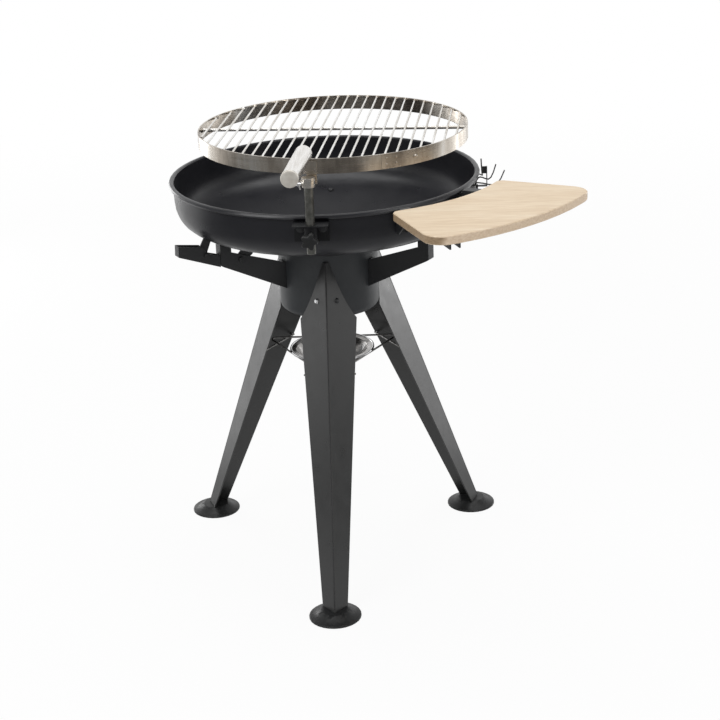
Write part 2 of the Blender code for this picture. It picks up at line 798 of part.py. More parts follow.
def grate_direction():
    return Vector((cos(GRATE_AZIMUTH), sin(GRATE_AZIMUTH), 0))


def grate_across():
    """Level direction to the left of the rods, seen from the post."""
    along = grate_direction()
    return Vector((-along.y, along.x, 0))


def grate_centre():
    reach = grate_direction() * (POST_TO_RING + RING_RADIUS)
    return Vector((POST.x, POST.y, 0)) + reach - grate_across() * BAND_SIDE


def grate_frame():
    """Local X away from the post along the rods, origin at the band's centre."""
    return Matrix.Translation(grate_centre()) @ Matrix.Rotation(GRATE_AZIMUTH, 4, "Z")


def build_ring():
    """Round band with the rivet that closes it."""
    low = RING_TOP - RING_HEIGHT
    inner = RING_RADIUS - RING_SHEET
    place = grate_frame()
    made = bmesh.new()
    revolve(made, [(inner, low), (RING_RADIUS, low), (RING_RADIUS, RING_TOP), (inner, RING_TOP)],
            72, place)
    azimuth = radians(-138)
    out = Vector((cos(azimuth), sin(azimuth), 0))
    point = place @ (out * (RING_RADIUS - 0.001) + Vector((0, 0, RING_TOP - RING_HEIGHT / 2)))
    turned(made, [(0.0044, 0), (0.0040, 0.0020), (0.0022, 0.0030)], 10,
           axis_frame(point, place.to_3x3() @ out))
    node = add_piece("grate_ring", made, "stainless", smooth=True, origin=swivel_origin())
    join_bodies(node)
    return node


def swivel_origin():
    return Vector((POST.x, POST.y, 0.8345))


def build_rods():
    """Parallel rods welded on one cross bar."""
    place = grate_frame()
    height = RING_TOP - 0.0012 - ROD_RADIUS
    made = bmesh.new()
    reach = RING_RADIUS - RING_SHEET - 0.0006
    for k in range(ROD_COUNT):
        y = (k - (ROD_COUNT - 1) / 2) * ROD_PITCH
        half = sqrt(reach ** 2 - (abs(y) + ROD_RADIUS) ** 2)
        ends = [place @ Vector((-half, y, height)), place @ Vector((half, y, height))]
        tube(made, ends, ROD_RADIUS, HEX)
    bar = 0.003
    bar_height = height - ROD_RADIUS - bar + 0.0006
    half = sqrt((RING_RADIUS - RING_SHEET - 0.0004) ** 2 - bar ** 2)
    tube(made, [place @ Vector((0, -half, bar_height)), place @ Vector((0, half, bar_height))], bar, DOME)
    node = add_piece("grate_rods", made, "stainless", smooth=True, origin=swivel_origin())
    join_bodies(node)
    return node


def build_grate_clip():
    """Sheet clip on the band, with the collar that turns on the post."""
    turn = Matrix.Translation((POST.x, POST.y, 0)) @ Matrix.Rotation(GRATE_AZIMUTH, 4, "Z")
    low, collar, high = CLIP_BOTTOM, CLIP_COLLAR_TOP, RING_TOP - 0.0035
    face = POST_TO_RING - GAP
    right, left = -0.0135, 0.0045
    made = bmesh.new()
    turned(made, [(0.0116, low), (0.0116, collar)], 20, Matrix.Translation((POST.x, POST.y, 0)))
    prism(made, [(face - 0.0026, right), (face, right), (face, left), (face - 0.0026, left)],
          low + 0.0004, high, turn)
    prism(made, [(0.0060, -0.0042), (face - 0.0012, -0.0042), (face - 0.0012, 0.0042),
                 (0.0060, 0.0042)], low + 0.0010, collar - 0.0010, turn)
    boss = Vector((POST.x, POST.y, CLIP_BOLT_HEIGHT)) + clip_side() * 0.0090
    turned(made, [(0.0050, 0), (0.0050, 0.0060)], SMALL, axis_frame(boss, clip_side()))
    node = add_piece("grate_clip", made, "stainless", smooth=True, origin=swivel_origin())
    join_bodies(node)
    depth = 0.0150
    cut(node, cylinder_cutter(POST + Vector((0, 0, POST_TOP + GAP - depth / 2)), (0, 0, 1),
                              POST_RADIUS + 0.0004, depth, POST_SIDES))
    side = Vector((POST.x, POST.y, CLIP_BOLT_HEIGHT)) + clip_side() * 0.0130
    cut(node, cylinder_cutter(side, clip_side(), 0.0024 + GAP, 0.0120))
    return node


def clip_side():
    """Direction of the clip's small clamp bolt, to the left of the post."""
    return Vector((-sin(GRATE_AZIMUTH + radians(35)), cos(GRATE_AZIMUTH + radians(35)), 0))


def build_clip_bolt():
    """Small bolt with a cross bar for the fingers."""
    base = Vector((POST.x, POST.y, CLIP_BOLT_HEIGHT))
    place = axis_frame(base, clip_side())
    made = bmesh.new()
    turned(made, [(0.0024, 0.0090), (0.0024, 0.0160), (0.0045, 0.0160), (0.0045, 0.0215),
                  (0.0030, 0.0230)], SMALL, place)
    node = add_piece("clip_bolt", made, "chrome", smooth=True, origin=base + clip_side() * 0.0188)
    bar = bmesh.new()
    across = clip_side().cross(Vector((0, 0, 1))) * 0.6 + Vector((0, 0, 0.8))
    tube(bar, [-across * 0.0115, across * 0.0115], 0.0015, DOME)
    add_to(node, bar)
    join_bodies(node)
    return node


def handle_start():
    """Where the grip's axis meets the outside of the band."""
    away = GRIP_SIDE + BAND_SIDE
    outer = POST_TO_RING + RING_RADIUS - sqrt(RING_RADIUS ** 2 - away ** 2)
    flat = Vector((POST.x, POST.y, 0)) + grate_direction() * outer + grate_across() * GRIP_SIDE
    return Vector((flat.x, flat.y, GRIP_HEIGHT))


def build_handle_lug():
    """Sheet lug on the band that the grip is screwed to."""
    turn = Matrix.Translation(handle_start()) @ Matrix.Rotation(GRATE_AZIMUTH, 4, "Z")
    high = 0.0095
    made = bmesh.new()
    base = RING_TOP + GAP - GRIP_HEIGHT
    profile = [(-0.0036, -0.0100), (-0.0012, -0.0100), (-0.0012, 0.0100), (-0.0036, 0.0100)]
    prism(made, profile, base, high, turn)
    node = add_piece("handle_lug", made, "stainless", origin=swivel_origin())
    extra = bmesh.new()
    prism(extra, [(-0.0036, -0.0100), (0.0062, -0.0100), (0.0062, 0.0100), (-0.0036, 0.0100)],
          base, base + 0.0020, turn)
    turned(extra, [(HANDLE_STUD, 0.0018), (HANDLE_STUD, 0.0600)], SMALL,
           axis_frame(handle_start(), -grate_direction()))
    bmesh.ops.translate(extra, verts=extra.verts, vec=-swivel_origin())
    add_to(node, extra)
    join_bodies(node)
    return node


def build_handle():
    """Round bright grip and its end cap."""
    out = -grate_direction()
    start = handle_start()
    grip_from, grip_to = 0.0040, 0.1660
    made = bmesh.new()
    place = axis_frame(start, out)
    bore = HANDLE_STUD + GAP
    revolve(made, [(bore, grip_from), (GRIP_RADIUS - 0.0015, grip_from), (GRIP_RADIUS, grip_from + 0.0015),
                   (GRIP_RADIUS, grip_to), (bore, grip_to)], MEDIUM, place)
    grip = add_piece("handle_grip", made, "brushed_metal", smooth=True, origin=swivel_origin())
    cap = bmesh.new()
    turned(cap, [(GRIP_RADIUS, grip_to + GAP), (GRIP_RADIUS, grip_to + 0.0030),
                 (GRIP_RADIUS - 0.0012, grip_to + 0.0045), (GRIP_RADIUS - 0.004, grip_to + 0.0050)],
           MEDIUM, place)
    add_piece("handle_cap", cap, "brushed_metal", smooth=True, origin=swivel_origin())
    return grip


# shelf board with rails, screws and hooks


def board_outline():
    """Arc-shaped board outline with rounded corners, counterclockwise."""
    points = []
    steps = 6
    for radius, first, last in ((BOARD_OUTER, BOARD_FROM, BOARD_TO),
                                (BOARD_INNER, BOARD_TO, BOARD_FROM)):
        outside = radius == BOARD_OUTER
        corner = BOARD_CORNER_OUTER if outside else BOARD_CORNER_INNER
        inset = radius - corner if outside else radius + corner
        way = 1 if last > first else -1
        swing = way * corner / inset
        arc = 0 if outside else pi
        turns = ((first + swing, first + arc - pi / 2, first + swing + arc),
                 (last - swing, last - swing + arc, last + arc + pi / 2))
        for index, (azimuth, start, end) in enumerate(turns):
            for k in range(steps + 1):
                a = start + (end - start) * k / steps
                points.append((inset * cos(azimuth) + corner * cos(a),
                               inset * sin(azimuth) + corner * sin(a)))
            if index == 0:
                margin = way * 1.6 * corner / radius
                for k in range(9):
                    a = first + margin + (last - first - 2 * margin) * k / 8
                    points.append((radius * cos(a), radius * sin(a)))
    return points


def build_board():
    outline = board_outline()
    middle = Vector((0.30, -0.31))
    edge = BOARD_EDGE
    made = bmesh.new()

    def ring(height, inset):
        result = []
        for x, y in outline:
            flat = Vector((x, y))
            away = (flat - middle).normalized()
            kept = flat - away * inset
            result.append(Vector((kept.x, kept.y, height)))
        return result

    top = BOARD_BOTTOM + BOARD_THICK
    rings_to_mesh(made, [ring(BOARD_BOTTOM, edge), ring(BOARD_BOTTOM + edge, 0),
                         ring(top - edge, 0), ring(top, edge)])
    return add_piece("shelf_board", made, "beech")


def build_rail(name, azimuth):
    """Folded channel under the board whose foot is bolted to the bowl's wall."""
    place = side_plate_frame(azimuth)
    half = RAIL_WIDTH / 2
    top = BOARD_BOTTOM - GAP
    sheet = 0.002
    under_bead = GUIDE_PLATE_TOP - 0.0004
    made = bmesh.new()
    prism(made, [(0.2800, 0.7180), (0.2895, 0.7180), (0.3130, RAIL_BOTTOM),
                 (RAIL_END, RAIL_BOTTOM), (RAIL_END, top), (0.2925, top),
                 (0.2925, under_bead), (0.2800, under_bead)], -half, half, place)
    node = add_piece("shelf_rail_" + name, made, "black_paint")
    hollow = bmesh.new()
    back = WALL_CLEAR + 0.0022
    prism(hollow, [(back, 0.7100), (RAIL_END + 0.01, 0.7100), (RAIL_END + 0.01, top - sheet),
                   (0.2945, top - sheet), (0.2945, under_bead - sheet), (back, under_bead - sheet)],
          -half + sheet, half - sheet, place)
    cut(node, hollow)
    cut(node, bowl_wall_cutter())
    point, normal = rail_bolt(azimuth)
    cut(node, cylinder_cutter(point, normal, BOLT_RADIUS + GAP, 0.02))
    for radius in SCREW_RADII.values():
        hole = place @ Vector((radius, top, 0))
        cut(node, cylinder_cutter(hole, (0, 0, 1), WOOD_SCREW_RADIUS + GAP, 0.012, HEX))
    return node


def rail_bolt(azimuth):
    normal = Vector((cos(azimuth), sin(azimuth), 0))
    return normal * 0.2815 + Vector((0, 0, WALL_BOLT_HEIGHT)), normal


def build_rail_bolts():
    for name, azimuth in RAIL_AZIMUTHS.items():
        point, normal = rail_bolt(radians(azimuth))
        made = bmesh.new()
        wall_bolt(made, axis_frame(point, normal), 0.0041)
        add_piece("rail_bolt_" + name, made, "black_paint")


def build_shelf_screws():
    """Four wood screws up through the rails into the board."""
    under = BOARD_BOTTOM - GAP - 0.002 - GAP
    for name, azimuth in RAIL_AZIMUTHS.items():
        for letter, radius in SCREW_RADII.items():
            a = radians(azimuth)
            place = Matrix.Translation((radius * cos(a), radius * sin(a), 0))
            made = bmesh.new()
            turned(made, [(0.0030, under - 0.0024), (0.0042, under), (WOOD_SCREW_RADIUS, under),
                          (WOOD_SCREW_RADIUS, BOARD_BOTTOM + 0.0090)], HEX, place)
            add_piece("shelf_screw_" + name + "_" + letter, made, "chrome")


# hooks on the bowl's wall behind the board

HOOK_WIRE = 0.0013
HOOK_RAIL_RADIUS = 0.2840
HOOK_RAIL_HEIGHT = 0.7480
# where each wire comes out under the bead, its lowest point and its tip
HOOKS = (((0.2890, -0.0050, 0.7545), (0.2950, 0.0040, 0.7500), (0.2932, 0.0150, 0.7790)),
         ((0.2895, -0.0250, 0.7545), (0.3045, -0.0275, 0.7505), (0.3185, -0.0295, 0.7790)),
         ((0.2835, -0.0640, 0.7545), (0.3130, -0.0690, 0.7505), (0.3320, -0.0730, 0.7790)))


def build_hook_plate():
    """Small upright plate on a foot that stands out from the bowl's wall."""
    near, far = -0.0380, -0.0300
    out = 0.3020
    made = bmesh.new()
    prism(made, [(0.2790, near), (0.2850, near), (0.2850, far), (0.2790, far)], 0.7240, 0.7425)
    prism(made, [(0.2840, near + 0.0003), (out, near + 0.0003), (out, far - 0.0003),
                 (0.2840, far - 0.0003)], 0.7395, 0.7412)
    prism(made, [(out - 0.0014, near + 0.0006), (out + 0.0002, near + 0.0006),
                 (out + 0.0002, far - 0.0006), (out - 0.0014, far - 0.0006)], 0.7400, 0.7770)
    prism(made, [(0.2932, far - 0.0024), (out - 0.0002, far - 0.0024),
                 (out - 0.0002, far - 0.0009), (0.2932, far - 0.0009)], 0.7630, 0.7764)
    node = add_piece("hook_plate", made, "black_paint")
    join_bodies(node)
    cut(node, bowl_wall_cutter())
    return node


def hook_path(start, low, tip):
    """Wire from the rail, out under the bead, down and up to the tip."""
    leave, bottom, end = Vector(start), Vector(low), Vector(tip)
    azimuth = atan2(leave.y, leave.x)
    root = Vector((HOOK_RAIL_RADIUS * cos(azimuth), HOOK_RAIL_RADIUS * sin(azimuth), HOOK_RAIL_HEIGHT))
    points = [root, (root + leave) / 2 + Vector((0, 0, 0.0018)), leave]
    steps = 6
    for k in range(1, steps + 1):
        t = k / steps
        level = leave.lerp(bottom, 2 * t) if t < 0.5 else bottom.lerp(end, 2 * t - 1)
        drop = (1 - cos(pi * min(1, 2 * t))) / 2 if t < 0.5 else (2 * t - 1) ** 1.9
        low_z, high_z = (leave.z, bottom.z) if t < 0.5 else (bottom.z, end.z)
        points.append(Vector((level.x, level.y, low_z + (high_z - low_z) * drop)))
    return points


def build_hooks():
    """Three wire hooks welded on a rail of the same wire along the wall."""
    made = bmesh.new()
    for start, low, tip in HOOKS:
        tube(made, hook_path(start, low, tip), HOOK_WIRE, HEX)
    rail = []
    for k in range(7):
        azimuth = radians(3 - 19 * k / 6)
        rail.append((HOOK_RAIL_RADIUS * cos(azimuth), HOOK_RAIL_RADIUS * sin(azimuth), HOOK_RAIL_HEIGHT))
    tube(made, rail, HOOK_WIRE + 0.0002, HEX)
    node = add_piece("tool_hooks", made, "brushed_metal", smooth=True)
    join_bodies(node)
    return node


def drill_bowl(bowl):
    """Bolt holes through the bowl's sheet."""
    for azimuth in ARM_AZIMUTHS.values():
        point, down = bowl_bolt(radians(azimuth))
        cut(bowl, cylinder_cutter(point, down, BOLT_RADIUS + GAP, 0.016))
    for side in (-1, 1):
        point, normal = guide_bolt(side)
        cut(bowl, cylinder_cutter(point, normal, BOLT_RADIUS + GAP, 0.016))
    for azimuth in RAIL_AZIMUTHS.values():
        point, normal = rail_bolt(radians(azimuth))
        cut(bowl, cylinder_cutter(point, normal, BOLT_RADIUS + GAP, 0.016))


def drill_board(board):
    for azimuth in RAIL_AZIMUTHS.values():
        for radius in SCREW_RADII.values():
            a = radians(azimuth)
            hole = Vector((radius * cos(a), radius * sin(a), BOARD_BOTTOM))
            cut(board, cylinder_cutter(hole, (0, 0, 1), WOOD_SCREW_RADIUS + GAP, 0.0190, HEX))


def main():
    clear_scene()
    bowl = build_bowl()
    drill_bowl(bowl)
    build_charcoal_grid()
    build_pot()
    for name, azimuth in LEG_AZIMUTHS.items():
        build_leg(name, radians(azimuth))
        build_leg_bolts(name, radians(azimuth))
        build_foot(name, radians(azimuth))
    arms = {name: build_arm(name) for name in ARM_AZIMUTHS}
    build_arm_strap(arms["left"])
    build_bowl_bolts()
    build_side_hanger()
    build_hanger_strap()
    build_hanger_bolt()
    build_dish_pins()
    build_dish_frame()
    build_ash_dish()
    build_guide()
    build_guide_bolts()
    build_clamp_screw()
    build_clamp_knob()
    build_post()
    build_ring()
    build_rods()
    build_grate_clip()
    build_clip_bolt()
    build_handle_lug()
    build_handle()
    board = build_board()
    drill_board(board)
    for name, azimuth in RAIL_AZIMUTHS.items():
        build_rail(name, radians(azimuth))
    build_rail_bolts()
    build_shelf_screws()
    build_hook_plate()
    build_hooks()


main()
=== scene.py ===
"""Looks for the charcoal grill: materials, fine pieces, floor, lights and camera."""

from math import atan2, cos, pi, radians, sin, sqrt

import bmesh
import bpy
from mathutils import Matrix, Vector


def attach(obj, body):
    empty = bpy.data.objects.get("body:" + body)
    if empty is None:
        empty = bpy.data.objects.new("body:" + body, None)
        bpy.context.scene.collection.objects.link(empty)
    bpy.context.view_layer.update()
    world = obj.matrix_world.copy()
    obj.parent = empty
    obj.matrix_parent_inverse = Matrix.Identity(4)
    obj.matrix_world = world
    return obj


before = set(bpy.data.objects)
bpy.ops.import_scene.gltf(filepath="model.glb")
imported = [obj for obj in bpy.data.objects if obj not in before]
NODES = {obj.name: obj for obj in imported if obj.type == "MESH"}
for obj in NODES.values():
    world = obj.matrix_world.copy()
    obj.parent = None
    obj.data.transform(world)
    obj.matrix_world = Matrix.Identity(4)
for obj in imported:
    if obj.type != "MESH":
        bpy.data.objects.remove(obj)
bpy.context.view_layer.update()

# where the axis of bowl, pot and legs meets the floor, and where the post stands
AXIS = Vector((-0.0745, 0.0929, 0))
POST_REACH = Vector((-0.011, -0.3045, 0))
POST = AXIS + POST_REACH
POST_AZIMUTH = atan2(POST_REACH.y, POST_REACH.x)

# legs: the way each one stands, in degrees, and half the width of the line of painted shade on its
# fold
LEG_AZIMUTHS = {"leg_front": -90, "leg_right": 30, "leg_left": 150}
FOLD_SHADE_HALF_WIDTH = 0.0016

# shelf board: the way its grain runs, the turn of the grain's pattern, and from where to where
# a face's slope counts as level and as cut across the grain
BOARD_GRAIN = radians(44)
BOARD_PATTERN = radians(-12)
BOARD_LEVEL = (0.35, 0.85)
BOARD_CUT = (0.45, 0.80)

# grate: its band, the rods and the bar under them
GRATE_AZIMUTH = radians(85.2)
RING_RADIUS = 0.246
RING_SHEET = 0.0025
RING_HEIGHT = 0.0265
RING_TOP = 0.8660
POST_TO_RING = 0.0172
BAND_SIDE = 0.0110
ROD_COUNT = 25
ROD_PITCH = 0.0191
ROD_HEIGHT = 0.8628
BAR_BELOW_RODS = 0.0044

# lap of the band's ends, with the places of its spot welds along and up the lap
LAP_FROM = radians(206.5)
LAP_TO = radians(215)
LAP_ROOT = 0.0005
LAP_PROUD = 0.0007
LAP_INSET = 0.0002
LAP_SIDES = 12
SPOTS_ALONG = (0.25, 0.75)
SPOTS_UP = (0.3, 0.7)

# radius and height of the weld drops, and how far a spot weld sinks in
ROD_WELD = (0.0036, 0.0026)
BAR_WELD = (0.0052, 0.0034)
SPOT_WELD = (0.0026, 0.0006)
SPOT_SINK = 0.0002
WELD_SIDES = 10
POINT_RADIUS = 0.0001

# shelf rails: the way they point, in degrees, and their pointed ends
RAIL_AZIMUTHS = {"front": -59.5, "back": -28.5}
RAIL_WIDTH = 0.0205
TIP_ROOT_RADIUS = 0.4060
TIP_ROOT_BOTTOM = 0.7412
TIP_ROOT_TOP = 0.7420
TIP_BACK_RADIUS = 0.4535
TIP_RADIUS = 0.4586
TIP_BOTTOM = 0.7336
TIP_TOP = 0.7640
TIP_SHEET = 0.0028
TIP_INSET = 0.001

# bolts through the bowl's wall, with the outer end of each washer under a nut
WALL_BOLT_RADIUS = 0.2815
WALL_BOLT_HEIGHT = 0.7435
GUIDE_BOLT_TURN = radians(3.9)
GUIDE_WASHER_END = 0.0052
RAIL_WASHER_END = 0.0041
WALL_BOLTS = ((POST_AZIMUTH - GUIDE_BOLT_TURN, GUIDE_WASHER_END),
              (POST_AZIMUTH + GUIDE_BOLT_TURN, GUIDE_WASHER_END),
              (radians(RAIL_AZIMUTHS["front"]), RAIL_WASHER_END),
              (radians(RAIL_AZIMUTHS["back"]), RAIL_WASHER_END))
WASHER_HOLE = 0.0031
WASHER_RADIUS = 0.0080
WASHER_SHEET = 0.0008
WASHER_CORNER = 0.0002
WASHER_SIDES = 24

# ash dish: its rolled edge, then two pressed rings, as radius, height and bead radius
DISH_RINGS = ((0.0800, 0.4177, 0.0017), (0.0400, 0.3942, 0.0011), (0.0250, 0.3940, 0.0009))
DISH_SIDES = 72
BEAD_SIDES = 10

# rounded edges and smooth shading
WELD_REACH = 0.00001
EDGE_WIDTH = 0.0005
EDGE_SEGMENTS = 2
EDGE_ANGLE = radians(35)
FACE_WEIGHT = 50
SHARP_ANGLE = radians(40)

# materials: a plain shader's refraction, the middle of a noise's values, and its detail
PLAIN_IOR = 1.5
NOISE_LOW = 0.3
NOISE_HIGH = 0.7
FINE_DETAIL = 2.0
CLOUD_DETAIL = 4.0
CLOUD_ROUGH = 0.55

# floor: its size and colour, and how white the camera sees it near the object; beyond the
# second distance from the middle it is all white
FLOOR_SIZE = 14.0
FLOOR_DROP = 0.0006
FLOOR_GREY = 0.86
NEAR_WHITE = 0.93
NEAR_TO_FAR = (1.2, 4.0)

# floor in gloss: its share, its level in front of the object and in a painted pool of light
# under it, and from where to where it grows bright behind the object and the pool dims round it
GLOSS_SHARE = 0.9
GLOSS_FRONT = 0.12
PAINTED_POOL_GLOSS = 0.46
GLOSS_BEHIND = (0.1, 0.9)
GLOSS_ROUND = (0.5, 1.4)

# world: light on dull surfaces, what gloss shows off the white card, and the card's soft edges
WORLD_LIGHT = 0.45
WORLD_GLOSS = 0.32
CARD_FRONT = (-0.1, 0.5)
CARD_TOP = (0.30, 0.70)

# lamps: place, target, size and power in watts
LAMPS = {
    "key": ((-2.2, -2.0, 2.6), (0, 0, 0.6), (1.8, 1.8), 42),
    "fill": ((2.6, -1.6, 1.8), (0, 0, 0.6), (1.6, 2.0), 20),
    "top": ((0.0, 0.4, 3.2), (0, 0, 0.6), (2.2, 2.2), 34),
    "low_left": ((-1.75, 1.95, 0.6), (-0.25, 0.17, 0.35), (0.9, 0.8), 8),
    "low_right": ((1.95, 1.85, 0.5), (0.15, 0.17, 0.35), (0.9, 0.8), 4),
}

# camera, found from the ellipses of rim and grate and the three feet
CAMERA_PLACE = AXIS + Vector((0.1694, -3.0828, 1.5826))
CAMERA_AZIMUTH = radians(92.164)
CAMERA_PITCH = radians(-21.166)
CAMERA_ROLL = radians(-2.291)
CAMERA_LENS = 85.0
CAMERA_SENSOR = 36.0
CAMERA_REACH = 60.0


# shader nodes


def new_material(name):
    """A material with its node tree and its shader."""
    made = bpy.data.materials.new(name)
    made.use_nodes = True
    tree = made.node_tree
    return made, tree, tree.nodes["Principled BSDF"]


def add_node(tree, kind, inputs=None, **settings):
    """Adds a node; an input is either another node's output or a plain value."""
    node = tree.nodes.new(kind)
    for key, value in settings.items():
        setattr(node, key, value)
    for key, value in (inputs or {}).items():
        if hasattr(value, "links"):
            tree.links.new(value, node.inputs[key])
        else:
            node.inputs[key].default_value = value
    return node


def link(tree, output, node, name):
    """Feeds one of a node's inputs."""
    tree.links.new(output, node.inputs[name])


def place_texture(tree, scale=(1, 1, 1), turn=(0, 0, 0)):
    """Object coordinates, stretched and turned."""
    where = add_node(tree, "ShaderNodeTexCoord").outputs["Object"]
    return add_node(tree, "ShaderNodeMapping",
                    {"Vector": where, "Scale": scale, "Rotation": turn}).outputs["Vector"]


def noise(tree, vector, scale, detail=CLOUD_DETAIL, rough=CLOUD_ROUGH):
    """Noise from 0 to 1; the scale is about the number of waves in a metre."""
    return add_node(tree, "ShaderNodeTexNoise", {"Vector": vector, "Scale": scale, "Detail": detail,
                                                 "Roughness": rough}).outputs["Fac"]


def ramp(tree, value, stops):
    """Colour ramp; the stops are (position, colour)."""
    node = add_node(tree, "ShaderNodeValToRGB", {"Fac": value})
    marks = node.color_ramp.elements
    while len(marks) < len(stops):
        marks.new(0.5)
    for mark, (position, colour) in zip(marks, stops):
        mark.position = position
        mark.color = (*colour, 1)
    return node.outputs["Color"]


def spread(tree, value, low, high):
    """Takes the middle of a noise's values to low..high."""
    return add_node(tree, "ShaderNodeMapRange",
                    {"Value": value, "From Min": NOISE_LOW, "From Max": NOISE_HIGH,
                     "To Min": low, "To Max": high}).outputs["Result"]


def smooth_step(tree, value, low, high, start, end):
    """Goes smoothly from start to end while the value goes from low to high."""
    return add_node(tree, "ShaderNodeMapRange",
                    {"Value": value, "From Min": low, "From Max": high,
                     "To Min": start, "To Max": end},
                    interpolation_type="SMOOTHSTEP").outputs["Result"]


def calculate(tree, operation, first, second=0.0):
    """One sum of two values; ABSOLUTE needs the first alone."""
    return add_node(tree, "ShaderNodeMath", {0: first, 1: second},
                    operation=operation).outputs["Value"]


def measure(tree, operation, first, second=(0, 0, 0)):
    """A vector's length, or its product with another one."""
    return add_node(tree, "ShaderNodeVectorMath", {0: first, 1: second},
                    operation=operation).outputs["Value"]


def choose(tree, factor, first, second):
    """First value where the factor is 0, second where it is 1."""
    return add_node(tree, "ShaderNodeMix", {"Factor": factor, "A": first, "B": second},
                    data_type="FLOAT").outputs["Result"]


def blend_colour(tree, factor, first, second, kind="MIX"):
    """First colour where the factor is 0, second where it is 1."""
    return add_node(tree, "ShaderNodeMix", {"Factor": factor, "A": first, "B": second},
                    data_type="RGBA", blend_type=kind).outputs["Result"]


def bump(tree, shader, height, strength, distance):
    """Raises the surface by a height value, at most by the distance."""
    node = add_node(tree, "ShaderNodeBump", {"Height": height, "Strength": strength,
                                             "Distance": distance})
    link(tree, node.outputs["Normal"], shader, "Normal")


# materials


def finish(name, tint, stops, sheen, grain, metallic=0.0, ior=PLAIN_IOR):
    """A material with cloudy colour, uneven sheen and fine grain.

    tint is the colour's noise (scale first) and stops its colours. sheen is a noise scale with
    the lowest and highest roughness. grain is a noise scale with the bump's strength and
    distance; with no scale the bump follows the colour's noise.
    """
    made, tree, shader = new_material(name)
    where = place_texture(tree)
    cloud = noise(tree, where, *tint)
    sheen_scale, low, high = sheen
    grain_scale, strength, distance = grain
    height = noise(tree, where, grain_scale, FINE_DETAIL) if grain_scale else cloud
    link(tree, ramp(tree, cloud, stops), shader, "Base Color")
    link(tree, spread(tree, noise(tree, where, sheen_scale), low, high), shader, "Roughness")
    bump(tree, shader, height, strength, distance)
    shader.inputs["Metallic"].default_value = metallic
    shader.inputs["IOR"].default_value = ior
    return made


def enamel():
    """Satin black enamel with a faint orange-peel surface."""
    return finish("grill_enamel", (9.0,),
                  [(0.35, (0.0095, 0.0098, 0.0128)), (0.65, (0.0140, 0.0143, 0.0180))],
                  sheen=(26.0, 0.27, 0.36), grain=(520.0, 0.10, 0.0004))


def pot_enamel():
    """Matt heat-proof black of the pot, paler and drier than the bowl."""
    return finish("pot_enamel", (12.0,),
                  [(0.35, (0.026, 0.029, 0.032)), (0.65, (0.036, 0.039, 0.042))],
                  sheen=(30.0, 0.40, 0.52), grain=(700.0, 0.12, 0.0004))


def black_paint(name, dark, pale, ior, rough):
    """Black powder coat with a fine even grain."""
    return finish(name, (7.0,), [(0.3, dark), (0.7, pale)], sheen=(40.0, rough, rough + 0.10),
                  grain=(1400.0, 0.16, 0.0003), ior=ior)


def powder_coat():
    """Powder coat of arms, rails, hooks' plate and most bolts."""
    return black_paint("powder_coat", (0.0120, 0.0130, 0.0145), (0.0180, 0.0190, 0.0205),
                       ior=1.6, rough=0.36)


def guide_coat_painted_shade():
    """Powder coat of the guide bracket made darker and duller, as painted shade of its place below
    the rim.
    """
    # painted shade: the bracket's black is darker than that of the other powder-coated parts
    return black_paint("guide_coat_painted_shade", (0.0055, 0.0058, 0.0070), (0.0085, 0.0090, 0.0105),
                       ior=1.4, rough=0.46)


def leg_coat(azimuth):
    """Glossier coat of one leg, with a dull line of painted shade along its fold."""
    made = black_paint("leg_coat", (0.0090, 0.0094, 0.0094), (0.0130, 0.0135, 0.0132),
                       ior=1.85, rough=0.27)
    tree = made.node_tree
    shader = tree.nodes["Principled BSDF"]
    tone, grain = (shader.inputs[name].links[0].from_socket for name in ("Base Color", "Roughness"))
    fold_shade = fold_shade_mask(tree, azimuth)
    # painted shade: the fold's colour is darkened to stand for the shade in the crease
    painted_fold_shade = ramp(tree, fold_shade, [(0.0, (0.012, 0.012, 0.012)), (1.0, (0.0030, 0.0032, 0.0034))])
    link(tree, blend_colour(tree, fold_shade, tone, painted_fold_shade), shader, "Base Color")
    link(tree, choose(tree, fold_shade, grain, 0.75), shader, "Roughness")
    return made


def fold_shade_mask(tree, azimuth):
    """1 on the fold of the leg that stands that way, where the painted shade goes, 0 beside it."""
    where = add_node(tree, "ShaderNodeTexCoord").outputs["Object"]
    middle = add_node(tree, "ShaderNodeVectorMath", {0: where, 1: tuple(AXIS)},
                      operation="SUBTRACT").outputs["Vector"]
    side = measure(tree, "DOT_PRODUCT", middle, (-sin(azimuth), cos(azimuth), 0))
    away = calculate(tree, "ABSOLUTE", side)
    return smooth_step(tree, away, FOLD_SHADE_HALF_WIDTH * 0.6, FOLD_SHADE_HALF_WIDTH * 1.4, 1.0, 0.0)


def stainless():
    """Rolled stainless strip with brown-tinted patches, dark to near white, of painted reflection.
    """
    made, tree, shader = new_material("stainless_strip_painted_reflections")
    lines = place_texture(tree, scale=(1, 1, 22))
    reflection_patches = noise(tree, place_texture(tree, scale=(1, 1, 0.25)), 15.0, 5.0, 0.62)
    # painted reflections: the patches' colours run from dark to near white on metal
    tints = ramp(tree, reflection_patches, [(0.34, (0.24, 0.21, 0.18)), (0.46, (0.46, 0.41, 0.35)),
                                 (0.56, (0.66, 0.61, 0.54)), (0.68, (0.86, 0.84, 0.80))])
    link(tree, tints, shader, "Base Color")
    link(tree, spread(tree, noise(tree, lines, 12.0, 3.0), 0.24, 0.33), shader, "Roughness")
    bump(tree, shader, noise(tree, lines, 9.0, FINE_DETAIL), 0.03, 0.0003)
    shader.inputs["Metallic"].default_value = 1.0
    return made


